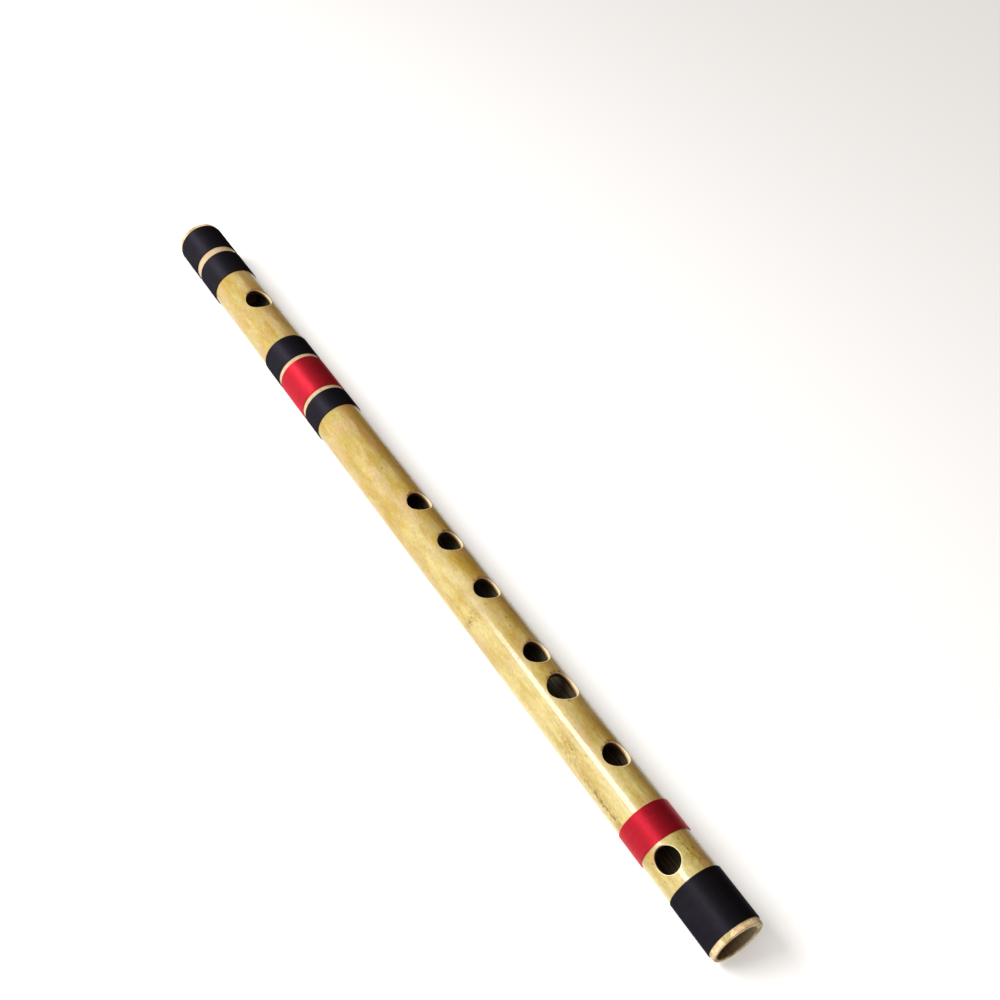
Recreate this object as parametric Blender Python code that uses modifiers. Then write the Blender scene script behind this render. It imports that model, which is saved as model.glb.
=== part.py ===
"""Bansuri: a side-blown bamboo flute with thread bindings and a cork stopper in its bore.

Metres, +Z up. The flute lies along X on its bindings, head at -X, finger holes facing up.
Places along the tube are measured from the head end, and each is laid out from its neighbour,
as a maker marks out the bamboo. Turning a hole off the row tips it towards -Y.
"""

from dataclasses import dataclass
from itertools import accumulate
from math import cos, pi, radians, sin, sqrt, tan, tau

import bmesh
import bpy
from mathutils import Matrix

# Bamboo tube
TUBE_RADIUS = 0.0115
WALL = 0.0021
END_ROUNDING = 0.0005
BORE_MOUTH_CHAMFER = 0.0005

# Distances along the tube, from hole centre to hole centre
HEAD_TO_BLOW_HOLE = 0.0701
BLOW_HOLE_TO_FINGERS = 0.1611
FINGER_SPACINGS = (0.0272, 0.0307, 0.0390, 0.0198, 0.0376)
FINGERS_TO_VENT = 0.0466
VENT_TO_FOOT = 0.0374

# Holes: length along the tube, width across it, and turn off the row
BLOW_HOLE_SIZE = (0.0140, 0.0126)
BLOW_HOLE_TURN = radians(8)
FINGER_HOLE_SIZES = (
    (0.0114, 0.0114),
    (0.0116, 0.0116),
    (0.0119, 0.0119),
    (0.0116, 0.0116),
    (0.0138, 0.0134),
    (0.0117, 0.0115),
)
VENT_HOLE_SIZE = (0.0114, 0.0104)
VENT_HOLE_TURN = radians(52.5)
RIM_ROUNDING = 0.0004

# Thread bindings: the bare lips at the ends, the width of each band, and the bare rings between
HEAD_LIP = 0.0025
HEAD_END_BAND = 0.0200
HEAD_RING = 0.0045
HEAD_BAND = 0.0183
BLOW_HOLE_TO_UPPER_BANDS = 0.0334
UPPER_BLACK_BAND = 0.0152
UPPER_RED_BAND = 0.0232
LOWER_BLACK_BAND = 0.0131
NARROW_RING = 0.0025
FOOT_RED_BAND = 0.0148
FOOT_RED_BAND_TO_VENT = 0.0073
FOOT_END_BAND = 0.0239
FOOT_LIP = 0.0026
BINDING_THICKNESS = 0.0004
BINDING_GAP = 0.0001
BINDING_SHOULDER = 0.0002

# Cork stopper, which is slid along the bore for tuning
STOPPER_LENGTH = 0.022
STOPPER_FACE_TO_BLOW_HOLE = 0.017
STOPPER_CLEARANCE = 0.0001
STOPPER_CHAMFER = 0.0006

# Smoothness of round forms
TURNED_STEPS = 64
HOLE_STEPS = 48
ROUNDING_STEPS = 2
RIM_ARC = radians(60)
CUTTER_OVERSHOOT = 0.001
MERGE_DISTANCE = 0.00001

# Worked out from the sizes above
BLOW_HOLE_AT = HEAD_TO_BLOW_HOLE
FIRST_FINGER_AT = BLOW_HOLE_AT + BLOW_HOLE_TO_FINGERS
LAST_FINGER_AT = FIRST_FINGER_AT + sum(FINGER_SPACINGS)
VENT_AT = LAST_FINGER_AT + FINGERS_TO_VENT
TUBE_LENGTH = VENT_AT + VENT_TO_FOOT
HEAD_END = -TUBE_LENGTH / 2
BORE_RADIUS = TUBE_RADIUS - WALL
BINDING_RADIUS = TUBE_RADIUS + BINDING_GAP + BINDING_THICKNESS

# Half a step of turning, which puts one facet flat side down, so that the flute rests on it
HALF_STEP = pi / TURNED_STEPS
AXIS_HEIGHT = BINDING_RADIUS * cos(HALF_STEP)


@dataclass(frozen=True)
class Hole:
    """A hole through the wall, by its centre, its size and its turn off the row."""

    name: str
    centre: float
    size: tuple[float, float]
    turn: float = 0.0


@dataclass(frozen=True)
class Band:
    """A band of thread wound round the tube, from the edge nearer the head."""

    name: str
    start: float
    width: float
    finish: str

    @property
    def end(self):
        """The band's edge nearer the foot."""
        return self.start + self.width


@dataclass(frozen=True)
class Finish:
    """A plain surface: linear colour, roughness and metallic value."""

    colour: tuple[float, float, float]
    roughness: float
    metallic: float = 0.0


FINISHES = {
    "bamboo": Finish((0.70, 0.47, 0.17), 0.35),
    "black_thread": Finish((0.022, 0.019, 0.030), 0.45),
    "red_thread": Finish((0.52, 0.012, 0.035), 0.40),
    "cork": Finish((0.42, 0.25, 0.12), 0.85),
}


def clear_scene():
    """Remove every object, mesh, material and collection that the file starts with."""
    for found in list(bpy.data.objects):
        bpy.data.objects.remove(found, do_unlink=True)
    for store in (bpy.data.meshes, bpy.data.materials, bpy.data.collections):
        for found in list(store):
            store.remove(found)


def new_collection(name):
    """Make a collection in the scene."""
    made = bpy.data.collections.new(name)
    bpy.context.scene.collection.children.link(made)
    return made


def new_material(name, finish):
    """Make a Principled material from a finish."""
    made = bpy.data.materials.new(name)
    made.use_nodes = True
    surface = made.node_tree.nodes["Principled BSDF"]
    surface.inputs["Base Color"].default_value = (*finish.colour, 1.0)
    surface.inputs["Roughness"].default_value = finish.roughness
    surface.inputs["Metallic"].default_value = finish.metallic
    made.diffuse_color = (*finish.colour, 1.0)
    return made


def add_object(name, mesh, collection, material=None):
    """Put a mesh into a collection as a named object."""
    made = bpy.data.objects.new(name, mesh)
    if material:
        mesh.materials.append(material)
    collection.objects.link(made)
    return made


def corner_arc(centre, radius, start, turn):
    """Points (x, r) of an arc about a centre, from an angle and through a turn."""
    x, r = centre
    angles = [start + turn * step / ROUNDING_STEPS for step in range(ROUNDING_STEPS + 1)]
    return [(x + radius * cos(a), r + radius * sin(a)) for a in angles]


def rounded_outside(half_length, radius, rounding):
    """The outer side of a turned piece, from -X to +X, with both corners rounded."""
    corner = half_length - rounding
    shoulder = radius - rounding
    near = corner_arc((-corner, shoulder), rounding, pi, -pi / 2)
    far = corner_arc((corner, shoulder), rounding, pi / 2, -pi / 2)
    return near + far


def turned_solid(name, outline, collection, material, ring):
    """Turn an outline of (x, r) points about X into one solid.

    The outline runs along the outer side from -X to +X. For a ring it then comes back along
    the inner side and is closed; otherwise it starts and ends on the axis.
    """
    shape = bmesh.new()
    points = [shape.verts.new((x, -r * sin(HALF_STEP), r * cos(HALF_STEP))) for x, r in outline]
    for first, second in zip(points, points[1:]):
        shape.edges.new((first, second))
    if ring:
        shape.edges.new((points[-1], points[0]))
    mesh = bpy.data.meshes.new(name)
    shape.to_mesh(mesh)
    shape.free()
    made = add_object(name, mesh, collection, material)
    screw = made.modifiers.new("Turn", "SCREW")
    screw.axis = "X"
    screw.angle = tau
    screw.steps = TURNED_STEPS
    screw.render_steps = TURNED_STEPS
    screw.use_merge_vertices = True
    screw.merge_threshold = MERGE_DISTANCE
    screw.use_normal_calculate = True
    screw.use_smooth_shade = True
    return made


def shade_by_area(target):
    """Keep wide faces looking flat and narrow roundings looking round."""
    shading = target.modifiers.new("Shading", "WEIGHTED_NORMAL")
    shading.mode = "FACE_AREA"


def tube_holes():
    """The blow hole, the finger holes and the vent hole, in order from the head."""
    holes = [Hole("blow_hole", BLOW_HOLE_AT, BLOW_HOLE_SIZE, BLOW_HOLE_TURN)]
    finger_centres = accumulate(FINGER_SPACINGS, initial=FIRST_FINGER_AT)
    for number, (centre, size) in enumerate(zip(finger_centres, FINGER_HOLE_SIZES), start=1):
        holes.append(Hole(f"finger_hole_{number}", centre, size))
    holes.append(Hole("vent_hole", VENT_AT, VENT_HOLE_SIZE, VENT_HOLE_TURN))
    return holes


def tube_bands():
    """The thread bands, in order from the head, each laid out from what it lies beside."""
    head_end = Band("black_binding_head_end", HEAD_LIP, HEAD_END_BAND, "black_thread")
    head = Band("black_binding_head", head_end.end + HEAD_RING, HEAD_BAND, "black_thread")
    upper_start = BLOW_HOLE_AT + BLOW_HOLE_TO_UPPER_BANDS
    upper = Band("black_binding_upper", upper_start, UPPER_BLACK_BAND, "black_thread")
    upper_red = Band("red_binding_upper", upper.end + NARROW_RING, UPPER_RED_BAND, "red_thread")
    lower = Band("black_binding_lower", upper_red.end + NARROW_RING, LOWER_BLACK_BAND, "black_thread")
    foot_red_start = VENT_AT - FOOT_RED_BAND_TO_VENT - FOOT_RED_BAND
    foot_red = Band("red_binding_foot", foot_red_start, FOOT_RED_BAND, "red_thread")
    foot_end_start = TUBE_LENGTH - FOOT_LIP - FOOT_END_BAND
    foot_end = Band("black_binding_foot_end", foot_end_start, FOOT_END_BAND, "black_thread")
    return [head_end, head, upper, upper_red, lower, foot_red, foot_end]


def cutter_rings():
    """Rings of a hole's cutter, from the middle of the tube outwards, as (growth, height, wrapped).

    A wrapped ring follows the tube's curve at that radius, and the others are level. The ring
    grows along an arc near the surface, which leaves the hole's rim rounded.
    """
    rings = [(0.0, 0.0, False)]
    for step in range(ROUNDING_STEPS + 1):
        angle = RIM_ARC * step / ROUNDING_STEPS
        growth = RIM_ROUNDING * (1 - cos(angle))
        depth = RIM_ROUNDING * (1 - sin(angle))
        rings.append((growth, TUBE_RADIUS - depth, True))
    flare = growth + CUTTER_OVERSHOOT * tan(RIM_ARC)
    rings.append((flare, TUBE_RADIUS + CUTTER_OVERSHOOT, False))
    return rings


def hole_cutter(hole, collection):
    """A plug of the hole's shape whose rings follow the tube's curve, so that the rim is even all round."""
    rings = cutter_rings()
    half_length, half_width = (side / 2 for side in hole.size)
    shape = bmesh.new()
    bmesh.ops.create_cone(shape, cap_ends=True, segments=HOLE_STEPS, radius1=1, radius2=1, depth=1)
    uprights = [edge for edge in shape.edges if edge.verts[0].co.z * edge.verts[1].co.z < 0]
    bmesh.ops.subdivide_edges(shape, edges=uprights, cuts=len(rings) - 2)
    for vertex in shape.verts:
        level = round((vertex.co.z + 0.5) * (len(rings) - 1))
        growth, height, wrapped = rings[level]
        x = (half_length + growth) * vertex.co.x
        y = (half_width + growth) * vertex.co.y
        vertex.co = (x, y, sqrt(height**2 - y**2) if wrapped else height)
    mesh = bpy.data.meshes.new(hole.name)
    shape.to_mesh(mesh)
    shape.free()
    made = add_object(hole.name, mesh, collection)
    place = Matrix.Translation((HEAD_END + hole.centre, 0, AXIS_HEIGHT))
    made.matrix_world = place @ Matrix.Rotation(hole.turn, 4, "X")
    made.display_type = "WIRE"
    made.hide_render = True


def build_tube(parts, cutters, material):
    """The bamboo tube, open at both ends, with its eight holes cut through one wall."""
    half = TUBE_LENGTH / 2
    mouth = BORE_RADIUS + BORE_MOUTH_CHAMFER
    inside = half - BORE_MOUTH_CHAMFER
    bore = [(half, mouth), (inside, BORE_RADIUS), (-inside, BORE_RADIUS), (-half, mouth)]
    outline = rounded_outside(half, TUBE_RADIUS, END_ROUNDING) + bore
    made = turned_solid("bamboo_tube", outline, parts, material, ring=True)
    made.location = (0, 0, AXIS_HEIGHT)
    for hole in tube_holes():
        hole_cutter(hole, cutters)
    cut = made.modifiers.new("Holes", "BOOLEAN")
    cut.operation = "DIFFERENCE"
    cut.solver = "EXACT"
    cut.operand_type = "COLLECTION"
    cut.collection = cutters
    shade_by_area(made)


def build_binding(band, parts, material):
    """A band of thread with rounded shoulders, close round the tube."""
    half = band.width / 2
    inner = TUBE_RADIUS + BINDING_GAP
    outline = rounded_outside(half, BINDING_RADIUS, BINDING_SHOULDER) + [(half, inner), (-half, inner)]
    made = turned_solid(band.name, outline, parts, material, ring=True)
    made.location = (HEAD_END + band.start + half, 0, AXIS_HEIGHT)
    shade_by_area(made)


def build_stopper(parts, material):
    """The cork that closes the bore beyond the blow hole, with its origin on the bore's axis."""
    half = STOPPER_LENGTH / 2
    radius = BORE_RADIUS - STOPPER_CLEARANCE
    edge = radius - STOPPER_CHAMFER
    end = half - STOPPER_CHAMFER
    outline = [(-half, 0), (-half, edge), (-end, radius), (end, radius), (half, edge), (half, 0)]
    made = turned_solid("cork_stopper", outline, parts, material, ring=False)
    face = BLOW_HOLE_AT - STOPPER_FACE_TO_BLOW_HOLE
    made.location = (HEAD_END + face - half, 0, AXIS_HEIGHT)
    shade_by_area(made)


def main():
    """Build the flute."""
    clear_scene()
    parts = new_collection("bansuri")
    cutters = new_collection("hole_cutters")
    cutters.hide_render = True
    materials = {name: new_material(name, finish) for name, finish in FINISHES.items()}
    build_tube(parts, cutters, materials["bamboo"])
    build_stopper(parts, materials["cork"])
    for band in tube_bands():
        build_binding(band, parts, materials[band.finish])


main()
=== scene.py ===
"""A bansuri on a pale studio floor: varnished bamboo, wound thread bindings and a cork stopper.

Metres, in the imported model's frame. The flute lies along X on the floor, with its head at -X
and its finger holes facing up. Places along the tube are measured from its head end.
"""

import logging
from dataclasses import dataclass
from enum import Enum
from math import cos, pi, radians, sin, sqrt, tan, tau
from typing import Any

import bmesh
import bpy
from bpy.types import Material, Node, NodeTree, Object
from mathutils import Matrix, Vector, noise


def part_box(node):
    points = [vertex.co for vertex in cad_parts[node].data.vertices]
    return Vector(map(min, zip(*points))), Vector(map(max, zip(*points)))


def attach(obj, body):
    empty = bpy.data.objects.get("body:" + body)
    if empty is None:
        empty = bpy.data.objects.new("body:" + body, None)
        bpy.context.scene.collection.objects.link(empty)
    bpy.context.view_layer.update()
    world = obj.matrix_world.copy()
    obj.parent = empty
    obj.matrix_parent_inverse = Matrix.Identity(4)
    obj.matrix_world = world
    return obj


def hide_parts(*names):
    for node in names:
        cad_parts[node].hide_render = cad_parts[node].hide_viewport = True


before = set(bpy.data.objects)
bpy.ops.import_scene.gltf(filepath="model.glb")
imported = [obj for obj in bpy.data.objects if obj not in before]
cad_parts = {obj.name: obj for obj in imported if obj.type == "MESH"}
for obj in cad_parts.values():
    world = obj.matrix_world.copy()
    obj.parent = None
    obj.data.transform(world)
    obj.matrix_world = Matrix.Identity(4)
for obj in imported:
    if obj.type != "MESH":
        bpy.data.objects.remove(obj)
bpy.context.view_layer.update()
TUBE_LOW, TUBE_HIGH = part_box("bamboo_tube")

LOG = logging.getLogger("bansuri")

MM = 0.001
HEAD_X = TUBE_LOW.x
TUBE_LENGTH = TUBE_HIGH.x - TUBE_LOW.x
AXIS_HEIGHT = (TUBE_LOW.z + TUBE_HIGH.z) / 2
AXIS = Vector((0.0, 0.0, AXIS_HEIGHT))
TUBE_RADIUS = 11.5 * MM

# How far each point of a hole's wall is painted into shade, from -1 (painted light, foot side) to 1 (painted
# shade, head side)
SHADE_SIDE = "shade_side"

# Sockets of the Mix node that hold a colour, which share their names with others
MIX_FACTOR, MIX_A, MIX_B, MIX_OUT = 0, 6, 7, 2


# Nodes and colours


def linear(code: str, alpha: float = 1.0) -> tuple[float, float, float, float]:
    """Turn an sRGB hex colour into linear values.

    Args:
        code: The colour as "#rrggbb".
        alpha: The fourth value.

    Returns:
        Red, green, blue and alpha, each from 0 to 1.
    """
    levels = [int(code[place:place + 2], 16) / 255 for place in (1, 3, 5)]
    red, green, blue = (
        level / 12.92 if level <= 0.04045 else ((level + 0.055) / 1.055) ** 2.4
        for level in levels
    )
    return (red, green, blue, alpha)


def add_node(
    tree: NodeTree,
    kind: str,
    inputs: dict[str | int, Any] | None = None,
    stops: tuple[tuple[float, str], ...] = (),
    **settings: Any,
) -> Node:
    """Add a node with its settings and links.

    Args:
        tree: The node tree that gets it.
        kind: The node's type, such as "ShaderNodeTexNoise".
        inputs: A value or an output socket for each input, by name or number.
        stops: Places and hex colours for a colour ramp.
        **settings: The node's own properties.

    Returns:
        The node.
    """
    made = tree.nodes.new(kind)
    for name, value in settings.items():
        setattr(made, name, value)
    for name, value in (inputs or {}).items():
        if isinstance(value, bpy.types.NodeSocket):
            tree.links.new(value, made.inputs[name])
        else:
            made.inputs[name].default_value = value
    if stops:
        elements = made.color_ramp.elements
        while len(elements) < len(stops):
            elements.new(1.0)
        for element, (place, code) in zip(elements, stops):
            element.position = place
            element.color = linear(code)
    return made


def new_material(name: str) -> tuple[Material, NodeTree, Node]:
    """Make an empty node material.

    Args:
        name: The finish's name.

    Returns:
        The material, its node tree and its Principled shader, joined to the output.
    """
    made = bpy.data.materials.new(name)
    made.use_nodes = True
    tree = made.node_tree
    tree.nodes.clear()
    surface = add_node(tree, "ShaderNodeBsdfPrincipled")
    add_node(tree, "ShaderNodeOutputMaterial", {"Surface": surface.outputs[0]})
    return made, tree, surface


def grain(tree: NodeTree, along: float, across: float, detail: float = 2.0, **more: Any) -> Any:
    """Noise drawn out along the flute, about its axis.

    Args:
        tree: The node tree that gets it.
        along: The pattern's size along the flute, in metres.
        across: Its size across the flute, in metres.
        detail: How many finer layers it has.
        **more: Further inputs of the noise, by name.

    Returns:
        The socket that gives the noise, from 0 to 1.
    """
    place = add_node(tree, "ShaderNodeTexCoord")
    scale = (1 / along, 1 / across, 1 / across)
    centred = add_node(tree, "ShaderNodeMapping", {
        "Vector": place.outputs["Object"],
        "Location": (0.0, 0.0, -AXIS_HEIGHT / across),
        "Scale": scale,
    })
    inputs = {"Vector": centred.outputs[0], "Scale": 1.0, "Detail": detail, **more}
    return add_node(tree, "ShaderNodeTexNoise", inputs).outputs["Fac"]


def patched(
    tree: NodeTree, colour: Any, code: str, size: tuple[float, float], strength: float, detail: float = 2.0,
) -> Any:
    """Lay soft patches of another colour over a colour.

    Args:
        tree: The node tree that gets them.
        colour: The socket of the colour underneath.
        code: The patches' hex colour.
        size: Their size along and across the flute, in metres.
        strength: How far they hide what is underneath, from 0 to 1.
        detail: How many finer layers their outline has.

    Returns:
        The socket that gives the mixed colour.
    """
    share = add_node(tree, "ShaderNodeMapRange", {
        "Value": grain(tree, *size, detail), "From Min": 0.45, "From Max": 0.62,
        "To Min": 0.0, "To Max": strength,
    })
    mixed = add_node(
        tree, "ShaderNodeMix", {MIX_FACTOR: share.outputs[0], MIX_A: colour, MIX_B: linear(code)},
        data_type="RGBA",
    )
    return mixed.outputs[MIX_OUT]


# Finishes


@dataclass(frozen=True)
class Patch:
    """An oval on the tube's surface, at an angle from the top towards +Y."""

    along: float
    turn: float
    length: float
    width: float

    def closeness(self, tree: NodeTree, far: float, near: float) -> Any:
        """How close the surface comes to the patch's middle.

        Args:
            tree: The node tree that gets it.
            far: The distance that gives 0, where 1 is the oval's edge.
            near: The distance that gives 1.

        Returns:
            The socket that gives it, from 0 to 1.
        """
        centre = Vector((
            HEAD_X + self.along,
            TUBE_RADIUS * sin(self.turn),
            AXIS_HEIGHT + TUBE_RADIUS * cos(self.turn),
        ))
        scale = Vector((2 / self.length, 2 / self.width, 2 / self.width))
        place = add_node(tree, "ShaderNodeTexCoord")
        local = add_node(tree, "ShaderNodeMapping", {
            "Vector": place.outputs["Object"], "Scale": scale, "Location": -centre * scale,
        })
        away = add_node(tree, "ShaderNodeVectorMath", {0: local.outputs[0]}, operation="LENGTH")
        share = add_node(tree, "ShaderNodeMapRange", {
            "Value": away.outputs["Value"], "From Min": far, "From Max": near,
        })
        return share.outputs[0]


@dataclass(frozen=True)
class Mark(Patch):
    """A bruise in the rind, in which dark flecks crowd together."""

    crowding: float = 0.0


@dataclass(frozen=True)
class BambooSkin:
    """Scraped and varnished bamboo rind: straw gold in soft clouds, with fine fibres and scattered specks."""

    pale: str = "#ad9b5f"
    straw: str = "#a78e41"
    golden: str = "#a2801b"
    rosy: str = "#b18a59"
    olive: str = "#9c8f3a"
    yellow: str = "#a8890c"
    bleached: str = "#c0b070"
    # The brown of the painted shade along the top
    top_painted_shade: str = "#8f6014"
    # The pale of the painted light in the short gaps between bands
    gap_painted_light: str = "#bda585"
    stain: str = "#8f7000"
    burn: str = "#4a2a10"
    brown: str = "#6e5400"
    cloud: float = 5 * MM
    # Flecks are some 0.4 mm across and fibres some 0.15 mm, drawn coarser so that they show
    fleck: float = 0.9 * MM
    fibre: float = 0.45 * MM
    speck_spacing: float = 3.4 * MM
    marks: tuple[Mark, ...] = (
        Mark(397 * MM, radians(-92), 42 * MM, 3.0 * MM, 0.08),
        Mark(297 * MM, radians(-82), 3 * MM, 9 * MM, -0.01),
        Mark(372 * MM, radians(-72), 9 * MM, 2 * MM, 0.0),
        Mark(434 * MM, radians(-8), 8 * MM, 3 * MM, 0.0),
    )
    burns: tuple[Patch, ...] = ()
    gaps: tuple[tuple[float, float], ...] = ()
    roughness: float = 0.42
    varnish: float = 0.55
    varnish_roughness: float = 0.1

    def ground(self, tree: NodeTree) -> Any:
        """The rind's colour: clouds of straw and gold, rosy, olive or yellow in places, paler to the foot,
        with painted shade in a stripe along the top and painted light in the short gaps between bands.

        Args:
            tree: The finish's node tree.

        Returns:
            The socket that gives the colour.
        """
        clouds = grain(tree, 3 * self.cloud, self.cloud, 8.0, Roughness=0.6)
        cloudy = add_node(
            tree, "ShaderNodeValToRGB", {"Fac": clouds},
            stops=((0.40, self.golden), (0.49, self.straw), (0.58, self.pale)),
        )
        colour = patched(tree, cloudy.outputs[0], self.rosy, (2.8 * self.cloud, 1.0 * self.cloud), 0.6)
        colour = patched(tree, colour, self.olive, (3.4 * self.cloud, 0.8 * self.cloud), 0.4)
        colour = patched(tree, colour, self.yellow, (2.2 * self.cloud, 0.8 * self.cloud), 0.5)
        spot = add_node(tree, "ShaderNodeTexCoord")
        parts = add_node(tree, "ShaderNodeSeparateXYZ", {0: spot.outputs["Object"]})
        to_foot = add_node(tree, "ShaderNodeMapRange", {
            "Value": parts.outputs["X"], "From Min": HEAD_X + 0.2, "From Max": HEAD_X + 0.42,
            "To Min": 0.0, "To Max": 0.18,
        }, interpolation_type="SMOOTHSTEP")
        patches = grain(tree, 5 * self.cloud, 1.6 * self.cloud, 5.0)
        weathered = add_node(
            tree, "ShaderNodeMath", {0: patches, 1: to_foot.outputs[0]}, operation="ADD",
        )
        share = add_node(tree, "ShaderNodeMapRange", {
            "Value": weathered.outputs[0], "From Min": 0.52, "From Max": 0.74, "To Min": 0.0, "To Max": 0.8,
        })
        bleached = add_node(
            tree, "ShaderNodeMix",
            {MIX_FACTOR: share.outputs[0], MIX_A: colour, MIX_B: linear(self.bleached)},
            data_type="RGBA",
        )
        # Painted shade on the side turned from the light: a ragged browner stripe along the top that turns a
        # little to the foot
        drift = add_node(
            tree, "ShaderNodeMath", {0: parts.outputs["X"], 1: -0.006, 2: parts.outputs["Y"]},
            operation="MULTIPLY_ADD",
        )
        aside = add_node(tree, "ShaderNodeMath", {0: drift.outputs[0], 1: 1.0 * MM}, operation="SUBTRACT")
        offset = add_node(tree, "ShaderNodeMath", {0: aside.outputs[0]}, operation="ABSOLUTE")
        ragged = grain(tree, 3 * self.cloud, 0.4 * self.cloud, 4.0)
        shifted = add_node(
            tree, "ShaderNodeMath", {0: ragged, 1: 9.0 * MM, 2: offset.outputs[0]}, operation="MULTIPLY_ADD",
        )
        stripe = add_node(tree, "ShaderNodeMapRange", {
            "Value": shifted.outputs[0], "From Min": 9.5 * MM, "From Max": 5.5 * MM,
            "To Min": 0.0, "To Max": 0.56,
        }, interpolation_type="SMOOTHSTEP")
        above = add_node(
            tree, "ShaderNodeMath", {0: parts.outputs["Z"], 1: AXIS_HEIGHT}, operation="GREATER_THAN",
        )
        top_painted_shade = add_node(
            tree, "ShaderNodeMath", {0: stripe.outputs[0], 1: above.outputs[0]}, operation="MULTIPLY",
        )
        browned = add_node(
            tree, "ShaderNodeMix",
            {MIX_FACTOR: top_painted_shade.outputs[0], MIX_A: bleached.outputs[MIX_OUT], MIX_B: linear(self.top_painted_shade)},
            data_type="RGBA",
        )
        colour = browned.outputs[MIX_OUT]
        # Painted light: the bamboo is paler in the short gaps between bands
        for middle, reach in self.gaps:
            within = add_node(
                tree, "ShaderNodeMath", {0: parts.outputs["X"], 1: HEAD_X + middle, 2: reach},
                operation="COMPARE",
            )
            share = add_node(tree, "ShaderNodeMath", {0: within.outputs[0], 1: 0.75}, operation="MULTIPLY")
            paled = add_node(
                tree, "ShaderNodeMix",
                {MIX_FACTOR: share.outputs[0], MIX_A: colour, MIX_B: linear(self.gap_painted_light)},
                data_type="RGBA",
            )
            colour = paled.outputs[MIX_OUT]
        return colour

    def stained(self, tree: NodeTree, colour: Any) -> Any:
        """Stain the skin round the marks, and brown it where the hot iron went in.

        Args:
            tree: The finish's node tree.
            colour: The socket of the colour underneath.

        Returns:
            The socket that gives the stained colour.
        """
        uneven = add_node(tree, "ShaderNodeMapRange", {
            "Value": grain(tree, 1.6 * MM, 0.9 * MM, 3.0), "From Min": 0.38, "From Max": 0.6,
        })
        spots = [(mark, self.stain, 2.6, 0.5, 0.9) for mark in self.marks]
        spots += [(burn, self.burn, 1.16, 0.99, 0.9) for burn in self.burns]
        for patch, code, far, near, strength in spots:
            share = add_node(
                tree, "ShaderNodeMath", {0: patch.closeness(tree, far, near), 1: uneven.outputs[0]},
                operation="MULTIPLY",
            )
            toned = add_node(
                tree, "ShaderNodeMath", {0: share.outputs[0], 1: strength}, operation="MULTIPLY",
            )
            mixed = add_node(
                tree, "ShaderNodeMix", {MIX_FACTOR: toned.outputs[0], MIX_A: colour, MIX_B: linear(code)},
                data_type="RGBA",
            )
            colour = mixed.outputs[MIX_OUT]
        return colour

    def specks(self, tree: NodeTree) -> Any:
        """Small dark specks, thinly scattered and crowded in the marks.

        Args:
            tree: The finish's node tree.

        Returns:
            The socket that gives how much speck there is, from 0 to 1.
        """
        place = add_node(tree, "ShaderNodeTexCoord")
        spaced = add_node(tree, "ShaderNodeMapping", {
            "Vector": place.outputs["Object"],
            "Scale": (0.7 / self.speck_spacing, 1 / self.speck_spacing, 1 / self.speck_spacing),
        })
        cells = add_node(tree, "ShaderNodeTexVoronoi", {"Vector": spaced.outputs[0], "Scale": 1.0})
        near = add_node(tree, "ShaderNodeMapRange", {
            "Value": cells.outputs["Distance"], "From Min": 0.18, "From Max": 0.08,
            "To Min": 0.0, "To Max": 0.8,
        })
        chance = add_node(tree, "ShaderNodeSeparateXYZ", {0: cells.outputs["Color"]})
        kept = add_node(tree, "ShaderNodeMapRange", {
            "Value": chance.outputs["X"], "From Min": 0.4, "From Max": 0.9, "To Min": 0.0, "To Max": 1.0,
        })
        thinned = add_node(
            tree, "ShaderNodeMath", {0: near.outputs[0], 1: kept.outputs[0]}, operation="MULTIPLY",
        )
        total = thinned.outputs[0]
        dense = grain(tree, 1.5 * MM, 0.7 * MM, 3.0)
        for mark in self.marks:
            inside = add_node(tree, "ShaderNodeMapRange", {
                "Value": mark.closeness(tree, 1.3, 0.3), "To Min": -0.85, "To Max": mark.crowding - 0.5,
            })
            level = add_node(tree, "ShaderNodeMath", {0: dense, 1: inside.outputs[0]}, operation="ADD")
            strength = add_node(tree, "ShaderNodeMapRange", {
                "Value": level.outputs[0], "From Max": 0.09, "To Max": 0.92,
            })
            both = add_node(tree, "ShaderNodeMath", {0: total, 1: strength.outputs[0]}, operation="MAXIMUM")
            total = both.outputs[0]
        return total

    def material(self) -> Material:
        """Make the finish.

        Returns:
            The material.
        """
        made, tree, surface = new_material("bamboo_skin_varnished")
        colour = self.stained(tree, self.ground(tree))
        flecks = grain(tree, 2 * self.fleck, self.fleck, 2.0)
        fibres = grain(tree, 90 * self.fibre, self.fibre, 2.0)
        for pattern, low, high in ((flecks, 0.86, 1.09), (fibres, 0.93, 1.06)):
            level = add_node(tree, "ShaderNodeMapRange", {
                "Value": pattern, "From Min": 0.3, "From Max": 0.7, "To Min": low, "To Max": high,
            })
            toned = add_node(
                tree, "ShaderNodeMix", {MIX_FACTOR: 1.0, MIX_A: colour, MIX_B: level.outputs[0]},
                data_type="RGBA", blend_type="MULTIPLY",
            )
            colour = toned.outputs[MIX_OUT]
        specked = add_node(
            tree, "ShaderNodeMix", {MIX_FACTOR: self.specks(tree), MIX_A: colour, MIX_B: linear(self.brown)},
            data_type="RGBA",
        )
        gloss = add_node(tree, "ShaderNodeMapRange", {
            "Value": fibres, "To Min": self.roughness - 0.06, "To Max": self.roughness + 0.08,
        })
        relief = add_node(tree, "ShaderNodeBump", {
            "Height": fibres, "Strength": 0.2, "Distance": 0.04 * MM,
        })
        runs = grain(tree, 6 * MM, 1.5 * MM, 2.0)
        waves = add_node(tree, "ShaderNodeBump", {"Height": runs, "Strength": 0.5, "Distance": 0.04 * MM})
        tree.links.new(waves.outputs[0], surface.inputs["Coat Normal"])
        tree.links.new(specked.outputs[MIX_OUT], surface.inputs["Base Color"])
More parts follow.
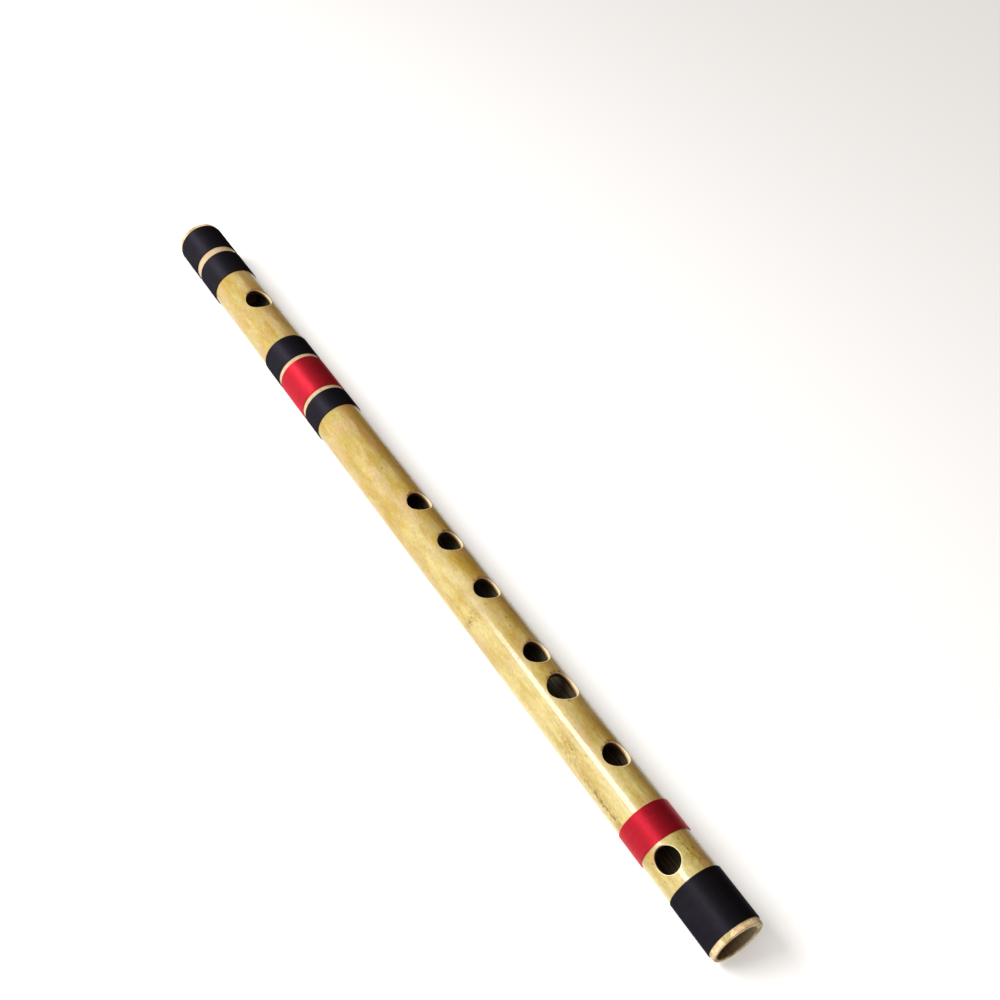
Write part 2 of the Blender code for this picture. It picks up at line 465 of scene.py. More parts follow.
        tree.links.new(gloss.outputs[0], surface.inputs["Roughness"])
        tree.links.new(relief.outputs[0], surface.inputs["Normal"])
        surface.inputs["IOR"].default_value = 1.5
        surface.inputs["Coat Weight"].default_value = self.varnish
        surface.inputs["Coat Roughness"].default_value = self.varnish_roughness
        return made


@dataclass(frozen=True)
class HoleWall:
    """A hole's wall, burnt through with an iron: darker towards the bore, with painted shade on the head side
    and painted light on the foot side.
    """

    cream: str = "#f0dfae"
    tan: str = "#a9795a"
    deep_and_shaded: str = "#2b1d10"
    outside: float = 11.5 * MM
    bore: float = 9.4 * MM
    # How far the painted shade and painted light shift the wall's colours
    shade_shift: float = 1.1 * MM
    roughness: float = 0.32

    def material(self) -> Material:
        """Make the finish.

        Returns:
            The material.
        """
        made, tree, surface = new_material("bamboo_hole_painted_shade")
        place = add_node(tree, "ShaderNodeTexCoord")
        centred = add_node(tree, "ShaderNodeMapping", {
            "Vector": place.outputs["Object"], "Location": -AXIS, "Scale": (0.0, 1.0, 1.0),
        })
        away = add_node(tree, "ShaderNodeVectorMath", {0: centred.outputs[0]}, operation="LENGTH")
        rough_edge = grain(tree, 2 * MM, 0.5 * MM, 2.0)
        jitter = add_node(tree, "ShaderNodeMapRange", {
            "Value": rough_edge, "To Min": -0.35 * MM, "To Max": 0.35 * MM,
        })
        # Painted shade on the head side of each wall and painted light on its foot side
        shade_side = add_node(tree, "ShaderNodeAttribute", attribute_name=SHADE_SIDE)
        shaded_depth = add_node(
            tree, "ShaderNodeMath", {0: shade_side.outputs["Fac"], 1: -self.shade_shift, 2: away.outputs["Value"]},
            operation="MULTIPLY_ADD",
        )
        level = add_node(
            tree, "ShaderNodeMath", {0: shaded_depth.outputs[0], 1: jitter.outputs[0]}, operation="ADD",
        )
        share = add_node(tree, "ShaderNodeMapRange", {
            "Value": level.outputs[0], "From Min": self.bore, "From Max": self.outside,
        })
        ground = add_node(
            tree, "ShaderNodeValToRGB", {"Fac": share.outputs[0]},
            stops=((0.12, self.deep_and_shaded), (0.48, self.tan), (0.78, self.cream)),
        )
        relief = add_node(tree, "ShaderNodeBump", {
            "Height": rough_edge, "Strength": 0.3, "Distance": 0.05 * MM,
        })
        tree.links.new(ground.outputs[0], surface.inputs["Base Color"])
        tree.links.new(relief.outputs[0], surface.inputs["Normal"])
        surface.inputs["Roughness"].default_value = self.roughness
        return made


@dataclass(frozen=True)
class CutBamboo:
    """Sawn and filed bamboo, bare: cream ground with the darker ends of its fibre bundles."""

    cream: str = "#ecdcb4"
    straw: str = "#cdb06a"
    bundle: str = "#7d6238"
    rosy: str = "#cf9f86"
    olive: str = "#8d7c36"
    # A fibre bundle's end is some 0.3 mm across, drawn coarser so that it shows
    bundle_size: float = 0.8 * MM
    patch_size: float = 4 * MM
    roughness: float = 0.62

    def material(self) -> Material:
        """Make the finish.

        Returns:
            The material.
        """
        made, tree, surface = new_material("bamboo_cut_bare")
        bundles = grain(tree, self.bundle_size, self.bundle_size, 3.0)
        ground = add_node(
            tree, "ShaderNodeValToRGB", {"Fac": bundles},
            stops=((0.24, self.bundle), (0.36, self.straw), (0.62, self.cream)),
        )
        colour = patched(tree, ground.outputs[0], self.rosy, (self.patch_size,) * 2, 0.6, 3.0)
        colour = patched(tree, colour, self.olive, (1.3 * self.patch_size,) * 2, 0.75, 3.0)
        relief = add_node(tree, "ShaderNodeBump", {"Height": bundles, "Strength": 0.4, "Distance": 0.05 * MM})
        tree.links.new(colour, surface.inputs["Base Color"])
        tree.links.new(relief.outputs[0], surface.inputs["Normal"])
        surface.inputs["Roughness"].default_value = self.roughness
        return made


@dataclass(frozen=True)
class BambooPith:
    """The bore's natural inner wall: dull brown with ribs of pith, greenish in places, with painted light that
    makes it paler towards the foot's mouth.
    """

    brown: str = "#46301f"
    tan: str = "#786347"
    green: str = "#596044"
    # The pale of the painted light near the foot's mouth
    mouth_painted_light: str = "#c2ab86"
    rib: float = 0.9 * MM
    roughness: float = 0.75

    def material(self) -> Material:
        """Make the finish.

        Returns:
            The material.
        """
        made, tree, surface = new_material("bamboo_bore_pith")
        ribs = grain(tree, 30 * self.rib, self.rib, 3.0)
        ribbed = add_node(
            tree, "ShaderNodeValToRGB", {"Fac": ribs},
            stops=((0.42, self.brown), (0.58, self.tan)),
        )
        colour = patched(tree, ribbed.outputs[0], self.green, (14 * MM, 4 * MM), 0.85)
        # Painted light: the bore grows paler over its last 16 mm to the foot's mouth
        spot = add_node(tree, "ShaderNodeTexCoord")
        parts = add_node(tree, "ShaderNodeSeparateXYZ", {0: spot.outputs["Object"]})
        to_foot = add_node(tree, "ShaderNodeMapRange", {
            "Value": parts.outputs["X"], "From Min": TUBE_HIGH.x - 0.016, "From Max": TUBE_HIGH.x,
            "To Min": 0.0, "To Max": 0.45,
        })
        mouth_painted_light = add_node(
            tree, "ShaderNodeMix",
            {MIX_FACTOR: to_foot.outputs[0], MIX_A: colour, MIX_B: linear(self.mouth_painted_light)},
            data_type="RGBA",
        )
        relief = add_node(tree, "ShaderNodeBump", {"Height": ribs, "Strength": 0.6, "Distance": 0.12 * MM})
        tree.links.new(mouth_painted_light.outputs[MIX_OUT], surface.inputs["Base Color"])
        tree.links.new(relief.outputs[0], surface.inputs["Normal"])
        surface.inputs["Roughness"].default_value = self.roughness
        return made


@dataclass(frozen=True)
class WoundThread:
    """Mercerised cotton thread, wound tight and lightly waxed: satin, with a soft sheen along each turn."""

    name: str
    deep: str
    bright: str
    lustre: float
    gloss: str
    wax: float
    roughness: float = 0.46
    wax_roughness: float = 0.36

    def material(self) -> Material:
        """Make the finish.

        Returns:
            The material.
        """
        made, tree, surface = new_material(self.name)
        # The cotton's fibres are some 0.02 mm thick, drawn coarser so that they show
        fuzz = grain(tree, 0.35 * MM, 1.4 * MM, 2.0)
        shade = grain(tree, 1.2 * MM, 9 * MM, 2.0)
        mixed = add_node(
            tree, "ShaderNodeMix", {MIX_FACTOR: 0.5, MIX_A: fuzz, MIX_B: shade}, data_type="RGBA",
        )
        ground = add_node(
            tree, "ShaderNodeValToRGB", {"Fac": mixed.outputs[MIX_OUT]},
            stops=((0.30, self.deep), (0.70, self.bright)),
        )
        relief = add_node(tree, "ShaderNodeBump", {"Height": fuzz, "Strength": 0.3, "Distance": 0.04 * MM})
        tree.links.new(ground.outputs[0], surface.inputs["Base Color"])
        tree.links.new(relief.outputs[0], surface.inputs["Normal"])
        surface.inputs["Roughness"].default_value = self.roughness
        surface.inputs["Metallic"].default_value = self.lustre
        surface.inputs["IOR"].default_value = 1.36
        surface.inputs["Specular Tint"].default_value = linear(self.gloss)
        surface.inputs["Coat Weight"].default_value = self.wax
        surface.inputs["Coat Roughness"].default_value = self.wax_roughness
        return made


@dataclass(frozen=True)
class Cork:
    """Turned cork, bare: tan granules with dark pores."""

    tan: str = "#b98a5a"
    brown: str = "#8a5f38"
    pore: str = "#3d2617"
    granule: float = 1.2 * MM
    roughness: float = 0.85

    def material(self) -> Material:
        """Make the finish.

        Returns:
            The material.
        """
        made, tree, surface = new_material("cork_turned")
        place = add_node(tree, "ShaderNodeTexCoord")
        centred = add_node(tree, "ShaderNodeMapping", {
            "Vector": place.outputs["Object"], "Scale": (1 / self.granule,) * 3,
        })
        granules = add_node(tree, "ShaderNodeTexVoronoi", {"Vector": centred.outputs[0], "Scale": 1.0})
        tone = add_node(
            tree, "ShaderNodeValToRGB", {"Fac": granules.outputs["Distance"]},
            stops=((0.25, self.tan), (0.75, self.brown)),
        )
        pores = grain(tree, 1.6 * MM, 1.1 * MM, 2.0)
        mask = add_node(tree, "ShaderNodeMapRange", {
            "Value": pores, "From Min": 0.62, "From Max": 0.7, "To Min": 0.0, "To Max": 1.0,
        })
        mixed = add_node(
            tree, "ShaderNodeMix",
            {MIX_FACTOR: mask.outputs[0], MIX_A: tone.outputs[0], MIX_B: linear(self.pore)},
            data_type="RGBA",
        )
        relief = add_node(tree, "ShaderNodeBump", {
            "Height": pores, "Strength": 0.7, "Distance": 0.2 * MM,
        }, invert=True)
        tree.links.new(mixed.outputs[MIX_OUT], surface.inputs["Base Color"])
        tree.links.new(relief.outputs[0], surface.inputs["Normal"])
        surface.inputs["Roughness"].default_value = self.roughness
        return made


@dataclass(frozen=True)
class StudioFloor:
    """Matt white paper, lit a little from below so that it stays white round the flute."""

    white: str = "#f6f6f6"
    roughness: float = 0.9
    glow: float = 0.40

    def material(self) -> Material:
        """Make the finish.

        Returns:
            The material.
        """
        made, _, surface = new_material("paper_white")
        surface.inputs["Emission Color"].default_value = linear(self.white)
        surface.inputs["Emission Strength"].default_value = self.glow
        surface.inputs["Base Color"].default_value = linear(self.white)
        surface.inputs["Roughness"].default_value = self.roughness
        surface.inputs["Specular IOR Level"].default_value = 0.1
        return made


class ThreadColour(Enum):
    """The two threads of the bindings."""

    BLACK = WoundThread(
        "thread_black_waxed", deep="#242127", bright="#302d37", lustre=0.92, gloss="#a6a6aa", wax=0.06,
    )
    RED = WoundThread(
        "thread_red_waxed", deep="#b8162b", bright="#cc233b", lustre=0.9, gloss="#ffffff", wax=0.22,
    )


# Shapes


def corner(
    centre: tuple[float, float], radius: float, start: float, steps: int = 4,
) -> list[tuple[float, float]]:
    """A quarter turn of a rounded corner, clockwise with x to the right and the radius upwards.

    Args:
        centre: The corner's centre, as (x, radius).
        radius: The rounding.
        start: The angle that it starts from.
        steps: How many edges it has.

    Returns:
        The points as (x, radius).
    """
    x, r = centre
    angles = [start - pi / 2 * step / steps for step in range(steps + 1)]
    return [(x + radius * cos(a), r + radius * sin(a)) for a in angles]


def turned(outline: list[tuple[float, float]], steps: int, ring: bool) -> bmesh.types.BMesh:
    """Turn an outline about the flute's axis.

    Args:
        outline: Points as (x, radius).
        steps: How many steps the turn has.
        ring: Whether the outline closes on itself. Otherwise it ends on the axis.

    Returns:
        The turned shape.
    """
    shape = bmesh.new()
    points = [shape.verts.new(AXIS + Vector((x, 0.0, r))) for x, r in outline]
    pairs = list(zip(points, points[1:]))
    if ring:
        pairs.append((points[-1], points[0]))
    for pair in pairs:
        shape.edges.new(pair)
    bmesh.ops.spin(
        shape, geom=shape.verts[:] + shape.edges[:], cent=AXIS, axis=(1.0, 0.0, 0.0),
        angle=tau, steps=steps, use_merge=True,
    )
    bmesh.ops.remove_doubles(shape, verts=shape.verts, dist=0.001 * MM)
    bmesh.ops.recalc_face_normals(shape, faces=shape.faces)
    return shape


def piece(
    name: str, shape: bmesh.types.BMesh, finishes: list[Material], sharp: float = radians(40),
) -> Object:
    """Make an object from a shape, at the origin, smooth but for its sharp edges.

    Args:
        name: The piece's name.
        shape: The shape, which is used up.
        finishes: Its materials, in slot order.
        sharp: Edges that turn by more than this stay sharp.

    Returns:
        The object.
    """
    for face in shape.faces:
        face.smooth = True
    for edge in shape.edges:
        edge.smooth = edge.calc_face_angle(0.0) < sharp
    mesh = bpy.data.meshes.new(name)
    shape.to_mesh(mesh)
    shape.free()
    for finish in finishes:
        mesh.materials.append(finish)
    made = bpy.data.objects.new(name, mesh)
    bpy.context.scene.collection.objects.link(made)
    return made


def settled(made: Object) -> bmesh.types.BMesh:
    """Take an object's shape with its modifiers applied, and remove the object.

    Args:
        made: The object, which is used up.

    Returns:
        The shape.
    """
    bpy.context.view_layer.update()
    solved = made.evaluated_get(bpy.context.evaluated_depsgraph_get())
    shape = bmesh.new()
    shape.from_mesh(solved.to_mesh())
    solved.to_mesh_clear()
    bpy.data.objects.remove(made)
    return shape


def fix_to(made: Object, body: str, node: str) -> None:
    """Fix a finished piece to a body, in place of a CAD node.

    Args:
        made: The piece.
        body: The body that carries it.
        node: The CAD node that it stands for.
    """
    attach(made, body)
    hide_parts(node)
    LOG.info("%s: %d faces on %s", made.name, len(made.data.polygons), body)


@dataclass(frozen=True)
class Hole:
    """A hole through the tube's wall."""

    name: str
    centre: float
    length: float
    width: float
    turn: float = 0.0
    rim: float = 0.0004
    steps: int = 96

    def cutter(self, radius: float) -> bmesh.types.BMesh:
        """A plug of the hole's shape, whose rings follow the tube's curve near its surface.

        Args:
            radius: The tube's outside radius.

        Returns:
            The plug, in place.
        """
        rings = [(0.0, 0.0, False)]
        arc_steps = 5
        for step in range(arc_steps + 1):
            angle = radians(72) * step / arc_steps
            rings.append((self.rim * (1 - cos(angle)), radius - self.rim * (1 - sin(angle)), True))
        rise = 1.0 * MM
        rings.append((rings[-1][0] + rise * tan(radians(72)), radius + rise, False))
        shape = bmesh.new()
        bmesh.ops.create_cone(shape, cap_ends=True, segments=self.steps, radius1=1, radius2=1, depth=1)
        uprights = [edge for edge in shape.edges if edge.verts[0].co.z * edge.verts[1].co.z < 0]
        bmesh.ops.subdivide_edges(shape, edges=uprights, cuts=len(rings) - 2)
        for vertex in shape.verts:
            growth, height, wrapped = rings[round((vertex.co.z + 0.5) * (len(rings) - 1))]
            x = (self.length / 2 + growth) * vertex.co.x
            y = (self.width / 2 + growth) * vertex.co.y
            vertex.co = (x, y, sqrt(height**2 - y**2) if wrapped else height)
        bmesh.ops.transform(shape, matrix=self.place(), verts=shape.verts)
        return shape

    def place(self) -> Matrix:
        """The hole's own axes: X to the foot, Y across and Z outwards, from the tube's axis."""
        return Matrix.Translation(AXIS + Vector((HEAD_X + self.centre, 0.0, 0.0))) @ Matrix.Rotation(
            self.turn, 4, "X",
        )

    def burn(self) -> Patch:
        """The smudge that the iron left round the hole, on the side that it leant on."""
        return Patch(
            self.centre - 0.8 * MM, 0.3 * MM / TUBE_RADIUS - self.turn, self.length, self.width,
        )

    def shade_side(self, point: Vector) -> float:
        """How far a point of the wall is painted into shade.

        Args:
            point: The point.

        Returns:
            From -1 on the foot side, painted light, to 1 on the head side, painted shade.
        """
        local = self.place().inverted() @ point
        side = Vector((2 * local.x / self.length, 2 * local.y / self.width)).normalized()
        # The head side gets painted shade, the foot side painted light
        return side.dot(Vector((-1.0, -0.3)).normalized())


@dataclass(frozen=True)
class BambooTube:
    """The bamboo tube with its blow hole, six finger holes and vent hole."""

    holes: tuple[Hole, ...]
    radius: float = 11.5 * MM
    bore: float = 9.4 * MM
    rounding: float = 0.5 * MM
    mouth: float = 0.5 * MM
    lip: float = 2.5 * MM
    unevenness: float = 0.05 * MM
    foot_shift: tuple[float, float] = (-0.42 * MM, -0.36 * MM)
    steps: int = 192
    outer_rings: int = 170
    inner_rings: int = 70

    def wall(self) -> bmesh.types.BMesh:
        """Turn the wall, and give it the slight unevenness and the off-centre foot of real bamboo.

        Returns:
            The uncut tube, with the skin, cut and bore materials on its faces.
        """
        head, foot = HEAD_X, HEAD_X + TUBE_LENGTH
        inset = self.rounding
        points = corner((head + inset, self.radius - inset), inset, pi)
        start, end = head + inset, foot - inset
        points += [
            (start + (end - start) * ring / self.outer_rings, self.radius)
            for ring in range(1, self.outer_rings)
        ]
        points += corner((foot - inset, self.radius - inset), inset, pi / 2)
        chamfer = self.mouth
        points += [(foot, self.bore + chamfer), (foot - chamfer * 0.3, self.bore + chamfer * 0.3)]
        start, end = foot - chamfer, head + chamfer
        points += [
            (start + (end - start) * ring / self.inner_rings, self.bore)
            for ring in range(self.inner_rings + 1)
        ]
        points += [(head + chamfer * 0.3, self.bore + chamfer * 0.3), (head, self.bore + chamfer)]
        shape = turned(points, self.steps, ring=True)
        for face in shape.faces:
            face.material_index = self.finish_of(face)
        for vertex in shape.verts:
            self.make_natural(vertex)
        return shape

    def finish_of(self, face: bmesh.types.BMFace) -> int:
        """The slot of a face: 0 for the skin, 1 for the filed ends with their lips, and 2 for the bore."""
        centre = face.calc_center_median() - AXIS
        radius = sqrt(centre.y**2 + centre.z**2)
        to_end = min(centre.x - HEAD_X, HEAD_X + TUBE_LENGTH - centre.x)
        if radius > self.radius - 0.3 * self.rounding and to_end > self.lip:
            return 0
        return 2 if radius < self.bore + 0.1 * self.mouth else 1

    def make_natural(self, vertex: bmesh.types.BMVert) -> None:
        """Move one point of the wall by bamboo's unevenness, and the bore off centre towards the foot."""
        from_axis = vertex.co - AXIS
        across = Vector((0.0, from_axis.y, from_axis.z))
        wave = noise.noise(Vector((vertex.co.x / 0.045, from_axis.y / 0.012, from_axis.z / 0.012)))
        vertex.co += across.normalized() * wave * self.unevenness
        if across.length < (self.radius + self.bore) / 2:
            share = min(1.0, max(0.0, (vertex.co.x - HEAD_X - 0.1) / (TUBE_LENGTH - 0.1)))
            vertex.co += Vector((0.0, *self.foot_shift)) * share**2

    def mark_shade_side(self, shape: bmesh.types.BMesh) -> None:
        """Store the painted shade and light on the walls of the holes, whose finish is the last.

        Args:
            shape: The tube with its holes.
        """
        layer = shape.verts.layers.float.new(SHADE_SIDE)
        walls = [face for face in shape.faces if face.material_index == 3]
        for vertex in {vertex for face in walls for vertex in face.verts}:
            along = vertex.co.x - HEAD_X
            hole = min(self.holes, key=lambda found: abs(found.centre - along))
            vertex[layer] = hole.shade_side(vertex.co)

    def build(self, finishes: list[Material]) -> Object:
        """Build the tube, cut its holes and fix it to the flute.

        Args:
            finishes: The varnished skin, the filed ends, the bore and the holes' walls, in that order.

        Returns:
            The tube.
        """
        tube = piece("bamboo_tube_turned", self.wall(), finishes)
        cutters = bpy.data.collections.new("hole_cutters")
        bpy.context.scene.collection.children.link(cutters)
        plugs = [piece(hole.name, hole.cutter(self.radius), finishes[-1:]) for hole in self.holes]
        for plug in plugs:
            cutters.objects.link(plug)
        cutting = tube.modifiers.new("Holes", "BOOLEAN")
        cutting.operation = "DIFFERENCE"
        cutting.solver = "EXACT"
        cutting.operand_type = "COLLECTION"
        cutting.collection = cutters
        cutting.material_mode = "TRANSFER"
        shape = settled(tube)
        bmesh.ops.remove_doubles(shape, verts=shape.verts, dist=0.002 * MM)
        for plug in plugs:
            bpy.data.objects.remove(plug)
        bpy.data.collections.remove(cutters)
        self.mark_shade_side(shape)
        made = piece("bamboo_tube_cut", shape, finishes)
        shading = made.modifiers.new("Even shading", "WEIGHTED_NORMAL")
        shading.keep_sharp = True
        fix_to(made, "flute", "bamboo_tube")
        return made


@dataclass(frozen=True)
class ThreadBinding:
    """One band of thread, wound turn beside turn over a thin underlay."""

    node: str
    start: float
    width: float
    colour: ThreadColour
    slot: str
    outside: float = 11.98 * MM
    underlay_inside: float = 11.6 * MM
    pitch: float = 0.30 * MM
    thread: float = 0.149 * MM
    sides: int = 6
    steps_a_turn: int = 72

    def underlay(self) -> bmesh.types.BMesh:
        """The layer of thread beneath, as a plain sleeve a little narrower than the band.

        Returns:
            The sleeve.
        """
        inset = 0.6 * self.thread
        low, high = self.underlay_inside, self.outside - 1.8 * self.thread
        near, far = HEAD_X + self.start + inset, HEAD_X + self.start + self.width - inset
        return turned([(near, low), (near, high), (far, high), (far, low)], self.steps_a_turn, ring=True)

    def one_turn(self, pitch: float) -> bmesh.types.BMesh:
        """Spin the first turn of the thread, open at both ends.

        Args:
            pitch: How far the thread moves along the flute in a turn.

        Returns:
            The turn.
        """
        place = Vector((HEAD_X + self.start + self.thread, 0.0, AXIS_HEIGHT + self.outside - self.thread))
        shape = bmesh.new()
        section = bmesh.ops.create_circle(
            shape, cap_ends=False, segments=self.sides, radius=self.thread,
        )["verts"]
        # The circle lies across the thread, which runs along Y where it starts
        across = Matrix.Translation(place) @ Matrix.Rotation(pi / 2, 4, "X")
        bmesh.ops.transform(shape, matrix=across, verts=section)
        bmesh.ops.spin(
            shape, geom=shape.edges[:], cent=AXIS, axis=(1.0, 0.0, 0.0),
            dvec=(pitch / self.steps_a_turn, 0.0, 0.0), angle=tau, steps=self.steps_a_turn,
        )
        return shape

    def winding(self) -> bmesh.types.BMesh:
        """Wind the thread from edge to edge, and tuck its ends under.

        Returns:
            The winding as one closed tube.
        """
        length = self.width - 2 * self.thread
        turns = round(length / self.pitch)
        pitch = length / turns
        first = piece(f"{self.node}_turn", self.one_turn(pitch), [])
        repeat = first.modifiers.new("Turns", "ARRAY")
        repeat.use_relative_offset = False
        repeat.use_constant_offset = True
        repeat.constant_offset_displace = (pitch, 0.0, 0.0)
        repeat.count = turns
        repeat.use_merge_vertices = True
        repeat.merge_threshold = 0.01 * MM
        shape = settled(first)
        for sign in (-1, 1):
            self.tuck(shape, sign)
        bmesh.ops.holes_fill(shape, edges=[edge for edge in shape.edges if edge.is_boundary])
        bmesh.ops.recalc_face_normals(shape, faces=shape.faces)
        return shape

    def tuck(self, shape: bmesh.types.BMesh, sign: int) -> None:
        """Lead one end of the thread in under the winding.

        Args:
            shape: The winding.
            sign: -1 for the end nearer the head, 1 for the other.
        """
        middle = HEAD_X + self.start + self.width / 2
        loose = [
            edge for edge in shape.edges
            if edge.is_boundary and sign * (edge.verts[0].co.x - middle) > 0
        ]
        steps = 10
        bmesh.ops.spin(
            shape, geom=loose, cent=AXIS, axis=(1.0, 0.0, 0.0), steps=steps,
            dvec=(0.0, 0.0, -2.2 * self.thread / steps), angle=sign * steps * tau / self.steps_a_turn,
        )

    def build(self, finish: Material) -> Object:
        """Wind the band and fix it to the flute.

        Args:
            finish: The thread's finish.

        Returns:
            The band.
        """
        shape = self.winding()
        under = self.underlay()
        mesh = bpy.data.meshes.new("underlay")
        under.to_mesh(mesh)
        under.free()
        shape.from_mesh(mesh)
        bpy.data.meshes.remove(mesh)
        made = piece(f"{self.node}_wound", shape, [finish], sharp=radians(70))
        fix_to(made, "flute", self.node)
        return made


@dataclass(frozen=True)
class CorkStopper:
    """The cork in the bore beyond the blow hole."""

    face: float = 53.1 * MM
    length: float = 22 * MM
    radius: float = 9.3 * MM
    chamfer: float = 0.6 * MM
    steps: int = 96

    def build(self, finish: Material) -> Object:
        """Turn the cork and fix it to its own body.

        Args:
            finish: The cork's finish.

        Returns:
            The stopper.
        """
        far = HEAD_X + self.face
        near = far - self.length
        edge = self.radius - self.chamfer
        outline = [
            (near, 0.0), (near, 0.5 * edge), (near, edge),
            *corner((near + self.chamfer, edge), self.chamfer, pi)[1:],
            *[(near + self.length * share, self.radius) for share in (0.25, 0.5, 0.75)],
            *corner((far - self.chamfer, edge), self.chamfer, pi / 2),
            (far, 0.5 * edge), (far, 0.0),
        ]
        shape = turned(outline, self.steps, ring=False)
        made = piece("cork_stopper_turned", shape, [finish])
        fix_to(made, "stopper", "cork_stopper")
        return made


# Studio


@dataclass(frozen=True)
class Studio:
    """White floor and pale backdrop, soft light that fades from front to back, and a long strip."""

    floor_size: float = 8.0
    backdrop: str = "#ececec"
    front: float = 1.0
    back: float = 0.13
    front_azimuth: float = radians(-50)
    strip_power: float = 9.0
    halo_power: float = 4.0

    def floor(self) -> Object:
        """Lay the floor."""
        shape = bmesh.new()
        bmesh.ops.create_grid(shape, x_segments=1, y_segments=1, size=self.floor_size / 2)
        made = piece("studio_floor", shape, [StudioFloor().material()])
        return made

    def area_light(
        self, name: str, place: Vector, aim: Vector, size: tuple[float, float], power: float,
    ) -> Object:
        """Hang a rectangular light.

        Args:
            name: Its name.
            place: Where it hangs.
            aim: The point that it faces.
            size: Its length along the flute and its height.
            power: Its power in watts.

        Returns:
            The light.
        """
        lamp = bpy.data.lights.new(name, "AREA")
        lamp.shape = "RECTANGLE"
        lamp.size, lamp.size_y = size
        lamp.energy = power
        made = bpy.data.objects.new(name, lamp)
        away = (place - aim).normalized()
        side = Vector((1.0, 0.0, 0.0))
        side = (side - away * side.dot(away)).normalized()
        up = away.cross(side)
        turn = Matrix((side, up, away)).transposed().to_4x4()
        made.matrix_world = Matrix.Translation(place) @ turn
        made.visible_camera = False
        bpy.context.scene.collection.objects.link(made)
        return made

    def build(self) -> None:
        """Set up the floor, the surroundings and the lights."""
        self.floor()
        world = bpy.data.worlds.new("soft_surroundings")
        bpy.context.scene.world = world
        world.use_nodes = True
        tree = world.node_tree
        tree.nodes.clear()
        facing = add_node(tree, "ShaderNodeTexCoord")
        bright_side = (sin(self.front_azimuth), -cos(self.front_azimuth), 0.0)
        towards = add_node(
            tree, "ShaderNodeVectorMath", {0: facing.outputs["Generated"], 1: bright_side},
            operation="DOT_PRODUCT",
        )
        level = add_node(tree, "ShaderNodeMapRange", {
            "Value": towards.outputs["Value"], "From Min": -0.05, "From Max": 0.80,
            "To Min": self.back, "To Max": self.front,
        }, interpolation_type="SMOOTHSTEP")
        share = add_node(tree, "ShaderNodeMapRange", {
            "Value": towards.outputs["Value"], "From Min": -0.1, "From Max": 0.5,
        })
        tint = add_node(
            tree, "ShaderNodeMix",
            {MIX_FACTOR: share.outputs[0], MIX_A: linear("#ffd9a8"), MIX_B: linear("#ffffff")},
            data_type="RGBA",
        )
        light = add_node(
            tree, "ShaderNodeBackground", {"Color": tint.outputs[MIX_OUT], "Strength": level.outputs[0]},
        )
        backdrop = add_node(tree, "ShaderNodeBackground", {"Color": linear(self.backdrop)})
        seen = add_node(tree, "ShaderNodeLightPath").outputs["Is Camera Ray"]
        both = add_node(
            tree, "ShaderNodeMixShader", {0: seen, 1: light.outputs[0], 2: backdrop.outputs[0]},
        )
        add_node(tree, "ShaderNodeOutputWorld", {"Surface": both.outputs[0]})
        lights = (
            ("strip", -0.19, (-0.77, 0.645), (0.54, 0.32), self.strip_power),
            ("halo", 0.05, (-0.92, 0.52), (0.80, 0.85), self.halo_power),
        )
        for name, along, beside, size, power in lights:
            self.area_light(name, Vector((along, *beside)), Vector((along, 0.0, 0.0)), size, power)


@dataclass(frozen=True)
class PhotoCamera:
    """The photograph's viewpoint, fitted to the flute's silhouette and holes."""

    place: tuple[float, float, float] = (0.36075864, -0.34891962, 0.42385438)
    forward: tuple[float, float, float] = (-0.53631783, 0.58765329, -0.60582736)
    up: tuple[float, float, float] = (-0.65044958, 0.16963319, 0.74036472)
    lens: float = 50.819
    sensor: float = 36.0

    def build(self) -> Object:
        """Set up the camera.

        Returns:
            The camera.
        """
        lens = bpy.data.cameras.new("photo_camera")
        lens.lens = self.lens
        lens.sensor_width = self.sensor
        lens.clip_start = 0.01
        made = bpy.data.objects.new("photo_camera", lens)
        back = -Vector(self.forward).normalized()
        side = Vector(self.up).cross(back).normalized()
        turn = Matrix((side, back.cross(side), back)).transposed().to_4x4()
        made.matrix_world = Matrix.Translation(self.place) @ turn
        bpy.context.scene.collection.objects.link(made)
        bpy.context.scene.camera = made
        return made


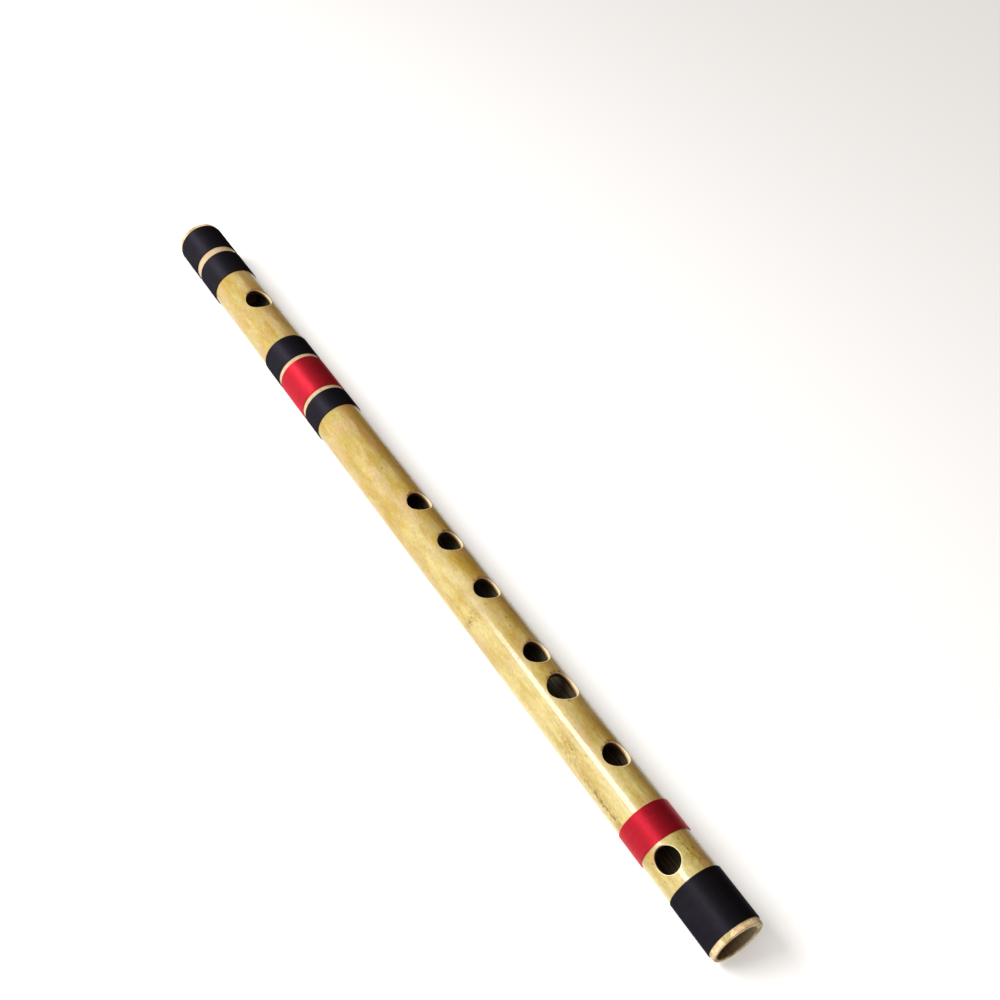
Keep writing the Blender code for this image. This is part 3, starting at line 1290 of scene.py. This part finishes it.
def flute_holes() -> tuple[Hole, ...]:
    """The blow hole, the six finger holes and the vent hole, from the head."""
    sizes = (
        ("blow_hole", 70.1, 14.0, 12.6, 8.0),
        ("finger_hole_1", 231.2, 11.4, 11.4, 0.0),
        ("finger_hole_2", 258.4, 11.6, 11.6, 0.0),
        ("finger_hole_3", 289.1, 11.9, 11.9, 0.0),
        ("finger_hole_4", 328.1, 11.6, 11.6, 0.0),
        ("finger_hole_5", 347.9, 13.8, 13.4, 0.0),
        ("finger_hole_6", 385.5, 11.7, 11.5, 0.0),
        ("vent_hole", 432.1, 11.4, 10.4, 52.5),
    )
    return tuple(
        Hole(name, centre * MM, length * MM, width * MM, radians(turn))
        for name, centre, length, width, turn in sizes
    )


def flute_bindings() -> tuple[ThreadBinding, ...]:
    """The seven bands of thread, from the head."""
    black, red = ThreadColour.BLACK, ThreadColour.RED
    sizes = (
        ("black_binding_head_end", 2.5, 20.0, black, "black_thread"),
        ("black_binding_head", 27.0, 18.3, black, "black_thread"),
        ("black_binding_upper", 103.5, 15.2, black, "black_thread"),
        ("red_binding_upper", 121.2, 23.2, red, "red_thread"),
        ("black_binding_lower", 146.9, 13.1, black, "black_thread"),
        ("red_binding_foot", 410.0, 14.8, red, "red_thread"),
        ("black_binding_foot_end", 443.0, 23.9, black, "black_thread"),
    )
    return tuple(
        ThreadBinding(node, start * MM, width * MM, colour, slot)
        for node, start, width, colour, slot in sizes
    )


def close_gaps(bindings: tuple[ThreadBinding, ...]) -> tuple[tuple[float, float], ...]:
    """Find the short gaps between neighbouring bands, where the bamboo gets painted light.

    Args:
        bindings: The bands, from the head.

    Returns:
        The middle and half the width of each gap.
    """
    gaps = []
    for band, following in zip(bindings, bindings[1:]):
        start, end = band.start + band.width, following.start
        if end - start < 6 * MM:
            gaps.append(((start + end) / 2, (end - start) / 2))
    return tuple(gaps)


def main() -> None:
    """Build the studio and the flute."""
    logging.basicConfig(level=logging.INFO, format="%(message)s")
    bpy.context.scene.view_settings.view_transform = "Standard"
    PhotoCamera().build()
    Studio().build()
    holes, bindings = flute_holes(), flute_bindings()
    # The vent hole, which comes last, was cut clean
    skin = BambooSkin(burns=tuple(hole.burn() for hole in holes[:-1]), gaps=close_gaps(bindings))
    finishes = (skin, CutBamboo(), BambooPith(), HoleWall())
    BambooTube(holes).build([finish.material() for finish in finishes])
    threads = {colour: colour.value.material() for colour in ThreadColour}
    for binding in bindings:
        binding.build(threads[binding.colour])
    CorkStopper().build(Cork().material())


if __name__ == "__main__":
    main()
